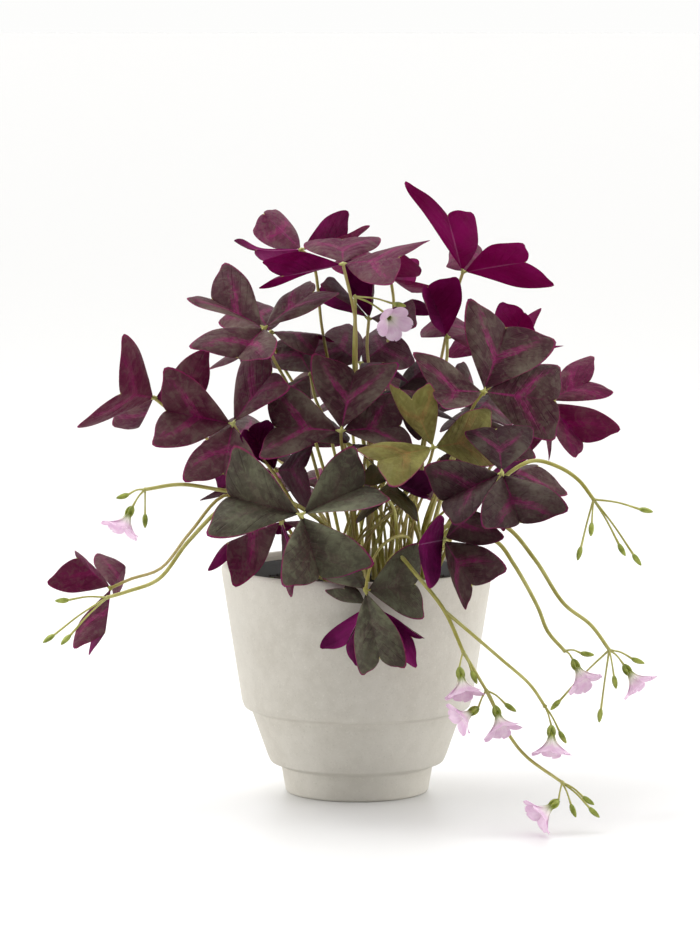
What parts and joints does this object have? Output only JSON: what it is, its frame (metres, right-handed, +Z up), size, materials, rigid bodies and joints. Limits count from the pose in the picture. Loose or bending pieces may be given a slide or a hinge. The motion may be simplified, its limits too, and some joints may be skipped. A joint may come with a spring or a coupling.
{
  "type": "potted purple shamrock",
  "caption": "Potted purple shamrock with folded three-part leaves, trailing stalks of small pale flowers and a round stepped ceramic pot.",
  "frame": {"origin": "centre of the pot's foot, on the surface that it stands on", "axes": "+Z up along the pot's axis, -Y towards the viewer of the plant's front, +X to that viewer's right"},
  "size_m": [0.2984, 0.254, 0.3069],
  "materials": {
    "pot": "matte, fine mottled warm grey",
    "liner": "satin",
    "soil": "damp crumbly potting soil with a little moss",
    "leaf": "satin leaf, dark purple with magenta patches and undersides",
    "leaf_green": "satin leaf, grey green with magenta edges",
    "leaf_olive": "satin leaf, olive green with faint pink patches",
    "stem": "smooth translucent yellow-green stem",
    "petal": "thin pale pink petal"
  },
  "bodies": {
    "root": {"pot": "pot", "nursery_pot": "liner", "soil": "soil", "leaf_crown_left": "leaf", "leaf_crown_centre": "leaf", "leaf_crown_behind": "leaf", "leaf_crown_right": "leaf", "leaf_upper_left": "leaf", "leaf_upper_left_inner": "leaf", "leaf_upper_inner": "leaf", "leaf_far_left": "leaf", "leaf_mid_left": "leaf", "leaf_centre": "leaf", "leaf_centre_low": "leaf", "leaf_front_green": "leaf_green", "leaf_front_olive": "leaf_olive", "leaf_right_large": "leaf", "leaf_right_large_low": "leaf", "leaf_lower_right": "leaf", "leaf_lower_right_inner": "leaf", "leaf_rim_right": "leaf", "leaf_rim_front": "leaf_green", "leaf_rim_front_low": "leaf_green", "leaf_rim_left": "leaf", "leaf_inner_left": "leaf", "leaf_behind_flower": "leaf", "leaf_under_crown": "leaf", "leaf_under_crown_right": "leaf", "leaf_back_right_high": "leaf", "leaf_middle_dark": "leaf", "leaf_far_right": "leaf", "leaf_far_low_left": "leaf", "leaf_olive_low": "leaf_olive", "leaf_back_left": "leaf", "leaf_back_centre": "leaf", "leaf_back_right": "leaf", "leaf_back_low_left": "leaf", "leaf_back_low_right": "leaf", "stalk_left_high": "stem", "stalk_left_low": "stem", "stalk_crown": "stem", "stalk_right_high": "stem", "stalk_right_outer": "stem", "stalk_right_inner": "stem", "stalk_front": "stem", "flower_left": "petal", "flower_crown": "petal", "flower_right_outer": "petal", "flower_right_inner": "petal", "flower_front_left": "petal", "flower_front_right": "petal", "flower_front_small": "petal", "flower_front_centre": "petal", "flower_floor": "petal"}
  },
  "joints": []
}
